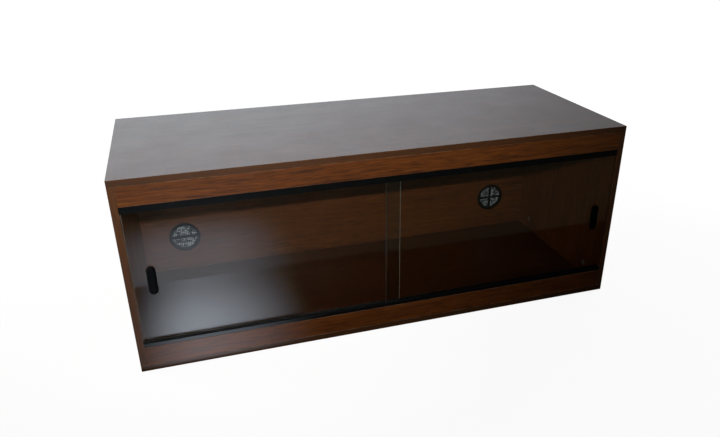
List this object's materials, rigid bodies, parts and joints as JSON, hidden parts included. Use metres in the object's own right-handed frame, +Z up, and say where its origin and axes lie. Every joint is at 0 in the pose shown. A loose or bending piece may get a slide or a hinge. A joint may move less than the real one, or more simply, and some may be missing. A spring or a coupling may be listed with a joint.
{
  "type": "terrarium cabinet",
  "caption": "Long low wood-board cabinet with glass doors that slide in black tracks between two front rails, and round meshed vents low in its back.",
  "frame": {"origin": "middle of the underside, on the surface that the cabinet stands on", "axes": "+X to the right and +Y to the back as seen from the doors, +Z up"},
  "size_m": [1.22, 0.466, 0.47],
  "materials": {
    "walnut_board": "dark walnut melamine facing with fine grain, satin",
    "track_plastic": "black extruded plastic, satin",
    "door_glass": "clear float glass with polished edges",
    "pull_plastic": "black moulded plastic, gloss",
    "vent_plastic": "black moulded plastic, satin",
    "vent_mesh": "grey punched mesh, dull",
    "cam_zinc": "cast zinc, dull",
    "dowel_beech": "plain beech, fluted"
  },
  "bodies": {
    "cabinet": {"base_panel": "walnut_board", "top_panel": "walnut_board", "left_side_panel": "walnut_board", "right_side_panel": "walnut_board", "back_panel": "walnut_board", "upper_fascia": "walnut_board", "lower_fascia": "walnut_board", "upper_track": "track_plastic", "lower_track": "track_plastic", "left_vent_bezel": "vent_plastic", "left_vent_insert": "vent_plastic", "left_vent_mesh": "vent_mesh", "right_vent_bezel": "vent_plastic", "right_vent_insert": "vent_plastic", "right_vent_mesh": "vent_mesh", "cam_bolt_left_top_front": "cam_zinc", "cam_lock_left_top_front": "cam_zinc", "cam_bolt_left_top_rear": "cam_zinc", "cam_lock_left_top_rear": "cam_zinc", "cam_bolt_left_base_front": "cam_zinc", "cam_lock_left_base_front": "cam_zinc", "cam_bolt_left_base_rear": "cam_zinc", "cam_lock_left_base_rear": "cam_zinc", "cam_bolt_right_top_front": "cam_zinc", "cam_lock_right_top_front": "cam_zinc", "cam_bolt_right_top_rear": "cam_zinc", "cam_lock_right_top_rear": "cam_zinc", "cam_bolt_right_base_front": "cam_zinc", "cam_lock_right_base_front": "cam_zinc", "cam_bolt_right_base_rear": "cam_zinc", "cam_lock_right_base_rear": "cam_zinc", "panel_dowel_left_top": "dowel_beech", "panel_dowel_left_base": "dowel_beech", "panel_dowel_right_top": "dowel_beech", "panel_dowel_right_base": "dowel_beech", "rail_dowel_left_upper_high": "dowel_beech", "rail_dowel_left_upper_low": "dowel_beech", "rail_dowel_left_lower_high": "dowel_beech", "rail_dowel_left_lower_low": "dowel_beech", "rail_dowel_right_upper_high": "dowel_beech", "rail_dowel_right_upper_low": "dowel_beech", "rail_dowel_right_lower_high": "dowel_beech", "rail_dowel_right_lower_low": "dowel_beech", "back_dowel_left_high": "dowel_beech", "back_dowel_left_low": "dowel_beech", "back_dowel_right_high": "dowel_beech", "back_dowel_right_low": "dowel_beech"},
    "left_door": {"left_glass_door": "door_glass", "left_finger_pull": "pull_plastic"},
    "right_door": {"right_glass_door": "door_glass", "right_finger_pull": "pull_plastic"}
  },
  "joints": [
    {"name": "left_door_slide", "type": "slide", "parent": "cabinet", "child": "left_door", "axis": [1, 0, 0], "range_m": [0, 0.575]},
    {"name": "right_door_slide", "type": "slide", "parent": "cabinet", "child": "right_door", "axis": [1, 0, 0], "range_m": [-0.575, 0]}
  ]
}
